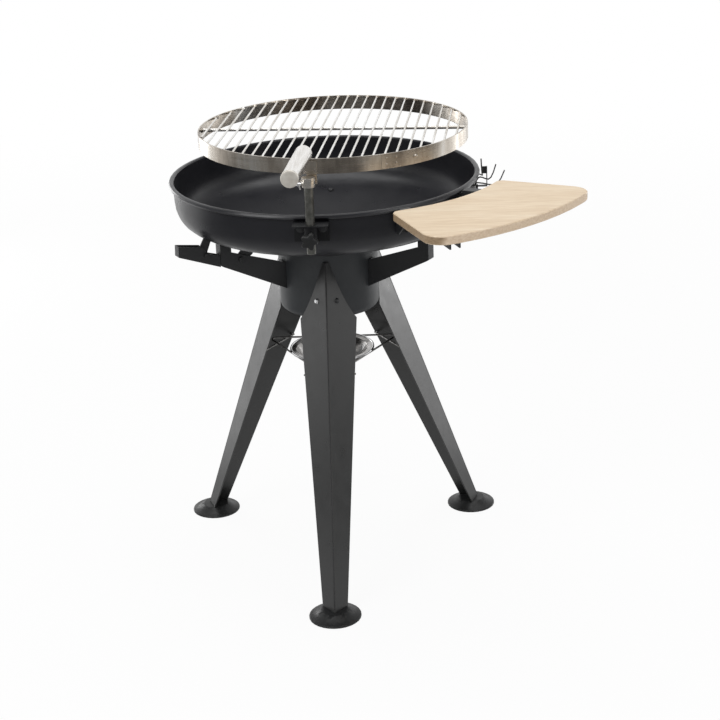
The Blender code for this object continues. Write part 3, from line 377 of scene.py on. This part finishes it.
def brushed_metal():
    """Bright grip tube, brushed along its length."""
    made, tree, shader = new_material("brushed_metal")
    where = place_texture(tree)
    lines = place_texture(tree, scale=(30, 1.5, 30), turn=(0, 0, radians(90) - GRATE_AZIMUTH))
    tints = ramp(tree, noise(tree, lines, 12.0),
                 [(0.3, (0.74, 0.71, 0.67)), (0.7, (0.90, 0.89, 0.87))])
    link(tree, tints, shader, "Base Color")
    link(tree, spread(tree, noise(tree, where, 30.0), 0.22, 0.30), shader, "Roughness")
    bump(tree, shader, noise(tree, lines, 20.0, FINE_DETAIL), 0.02, 0.0001)
    shader.inputs["Metallic"].default_value = 1.0
    return made


def post_steel():
    """Dull tube steel, grey with darker handling marks."""
    return finish("post_steel", (60.0, 6.0, 0.7),
                  [(0.35, (0.16, 0.16, 0.145)), (0.65, (0.32, 0.32, 0.295))],
                  sheen=(90.0, 0.30, 0.42), grain=(None, 0.12, 0.0003), metallic=1.0)


def rod_steel():
    """Bright rods with a little brown heat tint."""
    return finish("rod_steel", (11.0,), [(0.32, (0.68, 0.64, 0.58)), (0.62, (0.93, 0.92, 0.90))],
                  sheen=(60.0, 0.24, 0.38), grain=(900.0, 0.03, 0.0001), metallic=1.0)


def cap_metal():
    """Pressed end cap of the grip, satin and pale."""
    return finish("cap_metal", (90.0,), [(0.3, (0.62, 0.58, 0.52)), (0.7, (0.76, 0.73, 0.67))],
                  sheen=(70.0, 0.46, 0.58), grain=(400.0, 0.10, 0.0002), metallic=0.55)


def dish_steel_painted_reflections():
    """Thin deep-drawn steel with soft blotches, dark and bright, of painted reflection."""
    return finish("dish_steel_painted_reflections", (34.0, 5.0, 0.65),
                  # painted reflections: blotches from near black to pale grey on a metallic surface
                  [(0.36, (0.08, 0.08, 0.08)), (0.50, (0.30, 0.29, 0.28)),
                   (0.62, (0.62, 0.61, 0.60))],
                  sheen=(45.0, 0.14, 0.30), grain=(None, 0.10, 0.0006), metallic=1.0)


def steel_wire(name, dark, pale):
    """Drawn wire with a dry, uneven sheen."""
    return finish(name, (60.0,), [(0.3, dark), (0.7, pale)], sheen=(80.0, 0.34, 0.46),
                  grain=(700.0, 0.10, 0.0002), metallic=0.8)


def dark_wire():
    """Hook wire blackened by handling and weather."""
    return steel_wire("dark_wire", (0.035, 0.035, 0.034), (0.085, 0.083, 0.080))


def plain_wire():
    """Dull grey wire under the ash dish."""
    return steel_wire("plain_wire", (0.15, 0.15, 0.145), (0.34, 0.33, 0.32))


def chrome():
    """Bright plating of the small screws."""
    return finish("bright_plate", (20.0,),
                  [(0.3, (0.72, 0.72, 0.73)), (0.7, (0.84, 0.84, 0.85))],
                  sheen=(35.0, 0.06, 0.14), grain=(60.0, 0.05, 0.0006), metallic=1.0)


def moulded_black():
    """Moulded black of feet and knob, with a fine spark-eroded grain."""
    return finish("moulded_black", (18.0,),
                  [(0.3, (0.009, 0.0095, 0.010)), (0.7, (0.014, 0.0145, 0.015))],
                  sheen=(50.0, 0.36, 0.48), grain=(1100.0, 0.14, 0.0003))


def beech():
    """Pale oiled beech: long grain across the board with short darker flecks."""
    made, tree, shader = new_material("oiled_beech")
    turn = (0, 0, BOARD_PATTERN)
    along = place_texture(tree, scale=(2.0, 26.0, 26.0), turn=turn)
    fine = place_texture(tree, scale=(14.0, 220.0, 220.0), turn=turn)
    broad = noise(tree, along, 2.2, 5.0, 0.6)
    flecks = noise(tree, fine, 1.6, 3.0, 0.6)
    face = ramp(tree, broad, [(0.28, (0.71, 0.56, 0.39)), (0.5, (0.77, 0.63, 0.46)),
                              (0.72, (0.81, 0.69, 0.53))])
    dark = ramp(tree, flecks, [(0.40, (0.72, 0.62, 0.50)), (0.56, (1.0, 1.0, 1.0))])
    side = ramp(tree, flecks, [(0.36, (0.66, 0.50, 0.35)), (0.62, (0.76, 0.61, 0.45))])
    cut_end = ramp(tree, flecks, [(0.36, (0.26, 0.18, 0.105)), (0.62, (0.36, 0.255, 0.155))])
    level, ends = board_sides(tree)
    flecked = blend_colour(tree, 0.35, face, dark, "MULTIPLY")
    edge = blend_colour(tree, ends, side, cut_end)
    link(tree, blend_colour(tree, level, edge, flecked), shader, "Base Color")
    link(tree, spread(tree, broad, 0.42, 0.56), shader, "Roughness")
    bump(tree, shader, flecks, 0.10, 0.0003)
    return made


def board_sides(tree):
    """Two values: 1 on the board's level faces, and 1 where its grain is cut across."""
    facing = add_node(tree, "ShaderNodeNewGeometry").outputs["Normal"]
    upward = add_node(tree, "ShaderNodeSeparateXYZ", {0: facing}).outputs["Z"]
    endways = measure(tree, "DOT_PRODUCT", facing, (cos(BOARD_GRAIN), sin(BOARD_GRAIN), 0))
    level = smooth_step(tree, calculate(tree, "ABSOLUTE", upward), *BOARD_LEVEL, 0.0, 1.0)
    ends = smooth_step(tree, calculate(tree, "ABSOLUTE", endways), *BOARD_CUT, 0.0, 1.0)
    return level, ends


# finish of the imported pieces


PAINTS = {
    enamel: ["bowl"],
    pot_enamel: ["pot"],
    powder_coat: ["charcoal_grid", "arm_left", "arm_right", "arm_back", "arm_strap_left",
                  "arm_bolt_left", "side_hanger", "hanger_strap", "hanger_bolt",
                  "shelf_rail_front", "shelf_rail_back", "hook_plate", "guide_bolt_a",
                  "guide_bolt_b", "rail_bolt_front", "rail_bolt_back", "bowl_bolt_left",
                  "bowl_bolt_right", "bowl_bolt_back", "leg_bolt_front_b", "leg_bolt_left_a",
                  "leg_bolt_left_b", "leg_bolt_right_a", "leg_bolt_right_b"],
    # the guide bracket gets a darker copy of the powder coat as painted shade
    guide_coat_painted_shade: ["guide_bracket"],
    stainless: ["grate_ring", "grate_clip", "handle_lug"],
    post_steel: ["post"],
    rod_steel: ["grate_rods"],
    brushed_metal: ["handle_grip"],
    cap_metal: ["handle_cap"],
    dish_steel_painted_reflections: ["ash_dish"],
    dark_wire: ["tool_hooks"],
    plain_wire: ["dish_frame", "dish_pin_front", "dish_pin_left", "dish_pin_right"],
    chrome: ["clamp_screw", "clip_bolt", "shelf_screw_front_a", "shelf_screw_front_b",
             "shelf_screw_back_a", "shelf_screw_back_b", "leg_bolt_front_a"],
    moulded_black: ["foot_front", "foot_left", "foot_right", "clamp_knob"],
    beech: ["shelf_board"],
}
LOOKS = {}


def dress_nodes():
    """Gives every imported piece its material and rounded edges."""
    for maker, names in PAINTS.items():
        LOOKS[maker] = maker()
        for name in names:
            paint(name, LOOKS[maker])
            soften(name)
    for name, azimuth in LEG_AZIMUTHS.items():
        paint(name, leg_coat(radians(azimuth)))
        soften(name)


def paint(node, material):
    """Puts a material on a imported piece."""
    mesh = NODES[node].data
    mesh.materials.clear()
    mesh.materials.append(material)


def soften(node):
    """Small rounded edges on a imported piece, made by modifiers alone."""
    piece = NODES[node]
    weld = piece.modifiers.new("weld", "WELD")
    weld.merge_threshold = WELD_REACH
    edge = piece.modifiers.new("edges", "BEVEL")
    edge.width = EDGE_WIDTH
    edge.segments = EDGE_SEGMENTS
    edge.limit_method = "ANGLE"
    edge.angle_limit = EDGE_ANGLE
    even = piece.modifiers.new("even", "WEIGHTED_NORMAL")
    even.mode = "FACE_AREA"
    even.weight = FACE_WEIGHT
    for face in piece.data.polygons:
        face.use_smooth = True


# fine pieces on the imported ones


def add_piece(name, made, maker, body):
    """Puts a mesh piece on a body with the finish of its neighbours."""
    bmesh.ops.recalc_face_normals(made, faces=made.faces[:])
    mesh = bpy.data.meshes.new(name)
    made.to_mesh(mesh)
    made.free()
    mesh.shade_smooth()
    mesh.set_sharp_from_angle(angle=SHARP_ANGLE)
    mesh.materials.append(LOOKS[maker])
    piece = bpy.data.objects.new(name, mesh)
    bpy.context.scene.collection.objects.link(piece)
    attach(piece, body)


def way(azimuth):
    """Level direction at an azimuth."""
    return Vector((cos(azimuth), sin(azimuth), 0))


def axis_frame(point, direction):
    """Local Z along the direction, from the point."""
    turn = Vector(direction).normalized().to_track_quat("Z", "Y")
    return Matrix.Translation(point) @ turn.to_matrix().to_4x4()


def revolve(made, profile, sides, place, start=0.0, sweep=2 * pi):
    """Turns a closed outline of (radius, height) round local Z, fully or in part."""
    full = abs(sweep - 2 * pi) < 0.0001
    rings = []
    for k in range(sides if full else sides + 1):
        a = start + sweep * k / sides
        rings.append([made.verts.new(place @ Vector((r * cos(a), r * sin(a), z)))
                      for r, z in profile])
    pairs = list(zip(rings, rings[1:])) + ([(rings[-1], rings[0])] if full else [])
    for here, there in pairs:
        for i in range(len(profile)):
            j = (i + 1) % len(profile)
            made.faces.new((here[i], here[j], there[j], there[i]))
    if not full:
        made.faces.new(rings[0])
        made.faces.new(rings[-1])


def prism(made, outline, low, high, place):
    """A flat outline in local X and Y, from low to high along local Z."""
    bottom = [made.verts.new(place @ Vector((x, y, low))) for x, y in outline]
    top = [made.verts.new(place @ Vector((x, y, high))) for x, y in outline]
    made.faces.new(bottom[::-1])
    made.faces.new(top)
    for i in range(len(outline)):
        j = (i + 1) % len(outline)
        made.faces.new((bottom[i], bottom[j], top[j], top[i]))


def drop(made, place, point, away, size):
    """Half-round weld drop on a face that looks along away, both in the place's frame."""
    radius, height = size
    profile = [(radius, 0), (radius * 0.86, height * 0.55), (radius * 0.5, height * 0.88),
               (POINT_RADIUS, height), (POINT_RADIUS, 0)]
    revolve(made, profile, WELD_SIDES, axis_frame(place @ point, place.to_3x3() @ away))


def grate_frame():
    """Local X away from the post along the rods, origin at the band's centre."""
    along = way(GRATE_AZIMUTH)
    across = Vector((-along.y, along.x, 0))
    centre = POST + along * (POST_TO_RING + RING_RADIUS) - across * BAND_SIDE
    return Matrix.Translation(centre) @ Matrix.Rotation(GRATE_AZIMUTH, 4, "Z")


def build_rod_welds():
    """Weld drops where each rod, and the bar under them, meets the band."""
    place = grate_frame()
    inner = RING_RADIUS - RING_SHEET
    made = bmesh.new()
    for k in range(ROD_COUNT):
        y = (k - (ROD_COUNT - 1) / 2) * ROD_PITCH
        x = sqrt(inner ** 2 - y ** 2)
        for end in (-1, 1):
            point = Vector((end * x, y, ROD_HEIGHT))
            drop(made, place, point, Vector((-end * x, -y, 0)), ROD_WELD)
    for end in (-1, 1):
        point = Vector((0, end * inner, ROD_HEIGHT - BAR_BELOW_RODS))
        drop(made, place, point, Vector((0, -end, 0)), BAR_WELD)
    add_piece("rod_welds", made, stainless, "grate")


def build_band_lap():
    """Where the band's ends lap over each other, held by spot welds."""
    place = grate_frame()
    bottom = RING_TOP - RING_HEIGHT
    root = RING_RADIUS - LAP_ROOT
    face = RING_RADIUS + LAP_PROUD
    low = bottom + LAP_INSET
    high = RING_TOP - LAP_INSET
    made = bmesh.new()
    revolve(made, [(root, low), (face, low), (face, high), (root, high)], LAP_SIDES, place,
            LAP_FROM, LAP_TO - LAP_FROM)
    for along in SPOTS_ALONG:
        out = way(LAP_FROM + (LAP_TO - LAP_FROM) * along)
        for up in SPOTS_UP:
            point = out * (face - SPOT_SINK) + Vector((0, 0, bottom + RING_HEIGHT * up))
            drop(made, place, point, out, SPOT_WELD)
    add_piece("band_lap", made, stainless, "grate")


def build_rail_tips():
    """Pointed ends of the rails' side walls, which hang a little below the board."""
    outline = [(TIP_ROOT_RADIUS, TIP_ROOT_BOTTOM), (TIP_RADIUS, TIP_BOTTOM),
               (TIP_RADIUS, TIP_TOP), (TIP_BACK_RADIUS, TIP_TOP),
               (TIP_BACK_RADIUS, TIP_ROOT_TOP), (TIP_ROOT_RADIUS, TIP_ROOT_TOP)]
    up = Vector((0, 0, 1))
    for name, azimuth in RAIL_AZIMUTHS.items():
        out = way(radians(azimuth))
        turn = Matrix((out, up, out.cross(up))).transposed().to_4x4()
        place = Matrix.Translation(AXIS) @ turn
        made = bmesh.new()
        for side in (-1, 1):
            middle = side * (RAIL_WIDTH / 2 - TIP_INSET)
            prism(made, outline, middle - TIP_SHEET / 2, middle + TIP_SHEET / 2, place)
        add_piece("rail_tip_" + name, made, powder_coat, "stand")


def build_washers():
    """Plain washers under the nuts of the guide and the rails."""
    made = bmesh.new()
    for azimuth, end in WALL_BOLTS:
        out = way(azimuth)
        point = AXIS + out * WALL_BOLT_RADIUS + Vector((0, 0, WALL_BOLT_HEIGHT))
        start = end - WASHER_SHEET
        shoulder = WASHER_RADIUS - WASHER_CORNER
        revolve(made, [(WASHER_HOLE, start), (shoulder, start),
                       (WASHER_RADIUS, start + WASHER_CORNER), (shoulder, end),
                       (WASHER_HOLE, end)], WASHER_SIDES, axis_frame(point, out))
    add_piece("nut_washers", made, powder_coat, "stand")


def build_dish_bead():
    """Bright rolled edge of the ash dish and the pressed rings in its floor."""
    made = bmesh.new()
    place = Matrix.Translation(AXIS)
    turns = [2 * pi * k / BEAD_SIDES for k in range(BEAD_SIDES)]
    for radius, height, bead in DISH_RINGS:
        circle = [(radius + bead * cos(a), height + bead * sin(a)) for a in turns]
        revolve(made, circle, DISH_SIDES, place)
    add_piece("dish_bead", made, chrome, "dish")


# floor, light and camera


def white_floor():
    """Pale floor that carries the shadow."""
    made = bmesh.new()
    bmesh.ops.create_grid(made, x_segments=1, y_segments=1, size=FLOOR_SIZE)
    mesh = bpy.data.meshes.new("floor")
    made.to_mesh(mesh)
    made.free()
    mesh.materials.append(floor_white())
    floor = bpy.data.objects.new("floor", mesh)
    floor.location.z = -FLOOR_DROP
    bpy.context.scene.collection.objects.link(floor)


def floor_white():
    """Looks white to the camera, more so far off; gloss sees it bright behind the grill and a
    painted pool of light round it.
    """
    material, tree, shader = new_material("floor_white")
    tree.nodes.remove(shader)
    rays = add_node(tree, "ShaderNodeLightPath")
    where = add_node(tree, "ShaderNodeTexCoord").outputs["Object"]
    depth = add_node(tree, "ShaderNodeSeparateXYZ", {0: where}).outputs["Y"]
    spot = measure(tree, "LENGTH", where)
    far = smooth_step(tree, spot, *NEAR_TO_FAR, NEAR_WHITE, 1.0)
    behind = smooth_step(tree, depth, *GLOSS_BEHIND, GLOSS_FRONT, 1.0)
    # painted pool of light: the floor glows brighter round the grill, for gloss alone
    painted_pool = smooth_step(tree, spot, *GLOSS_ROUND, PAINTED_POOL_GLOSS, GLOSS_FRONT)
    gloss = calculate(tree, "MAXIMUM", behind, painted_pool)
    seen = calculate(tree, "MULTIPLY", rays.outputs["Is Camera Ray"], far)
    shiny = calculate(tree, "MULTIPLY", rays.outputs["Is Glossy Ray"], GLOSS_SHARE)
    strength = choose(tree, rays.outputs["Is Glossy Ray"], 1.0, gloss)
    diffuse = add_node(tree, "ShaderNodeBsdfDiffuse",
                       {"Color": (FLOOR_GREY, FLOOR_GREY, FLOOR_GREY, 1)}).outputs["BSDF"]
    glow = add_node(tree, "ShaderNodeEmission",
                    {"Color": (1, 1, 1, 1), "Strength": strength}).outputs["Emission"]
    mix = add_node(tree, "ShaderNodeMixShader",
                   {0: calculate(tree, "MAXIMUM", seen, shiny), 1: diffuse, 2: glow})
    link(tree, mix.outputs["Shader"], tree.nodes["Material Output"], "Surface")
    return material


def world_light():
    """White for the camera; for gloss a white card behind the grill and dim elsewhere."""
    world = bpy.data.worlds.new("studio")
    bpy.context.scene.world = world
    world.use_nodes = True
    tree = world.node_tree
    tree.nodes.clear()
    rays = add_node(tree, "ShaderNodeLightPath")
    where = add_node(tree, "ShaderNodeTexCoord").outputs["Generated"]
    parts = add_node(tree, "ShaderNodeSeparateXYZ", {0: where})
    behind = smooth_step(tree, parts.outputs["Y"], *CARD_FRONT, 0.0, 1.0)
    low = smooth_step(tree, parts.outputs["Z"], *CARD_TOP, 1.0, 0.0)
    gloss = choose(tree, calculate(tree, "MULTIPLY", behind, low), WORLD_GLOSS, 1.0)
    soft = choose(tree, rays.outputs["Is Glossy Ray"], WORLD_LIGHT, gloss)
    seen = calculate(tree, "MAXIMUM", rays.outputs["Is Camera Ray"],
                     rays.outputs["Is Transmission Ray"])
    back = add_node(tree, "ShaderNodeBackground", {"Color": (1, 1, 1, 1),
                                                   "Strength": choose(tree, seen, soft, 1.0)})
    out = add_node(tree, "ShaderNodeOutputWorld")
    link(tree, back.outputs["Background"], out, "Surface")


def lights():
    """Large soft lamps, all of them rectangles."""
    for name, (place, target, size, watts) in LAMPS.items():
        data = bpy.data.lights.new(name, "AREA")
        data.shape = "RECTANGLE"
        data.size, data.size_y = size
        data.energy = watts
        lamp = bpy.data.objects.new(name, data)
        lamp.location = place
        aim = Vector(target) - Vector(place)
        lamp.rotation_euler = aim.to_track_quat("-Z", "Y").to_euler()
        bpy.context.scene.collection.objects.link(lamp)


def camera():
    """The photograph's view: it looks a little down and is rolled a little."""
    direction = Vector((cos(CAMERA_AZIMUTH) * cos(CAMERA_PITCH),
                        sin(CAMERA_AZIMUTH) * cos(CAMERA_PITCH), sin(CAMERA_PITCH)))
    level = Vector((sin(CAMERA_AZIMUTH), -cos(CAMERA_AZIMUTH), 0))
    upright = level.cross(direction)
    right = level * cos(CAMERA_ROLL) + upright * sin(CAMERA_ROLL)
    up = upright * cos(CAMERA_ROLL) - level * sin(CAMERA_ROLL)
    turn = Matrix((right, up, -direction)).transposed().to_4x4()
    data = bpy.data.cameras.new("photo_camera")
    data.lens = CAMERA_LENS
    data.sensor_width = CAMERA_SENSOR
    data.clip_end = CAMERA_REACH
    eye = bpy.data.objects.new("photo_camera", data)
    eye.matrix_world = Matrix.Translation(CAMERA_PLACE) @ turn
    bpy.context.scene.collection.objects.link(eye)
    bpy.context.scene.camera = eye


dress_nodes()
build_rod_welds()
build_band_lap()
build_rail_tips()
build_washers()
build_dish_bead()
white_floor()
world_light()
lights()
camera()
bpy.context.scene.view_settings.view_transform = "Standard"
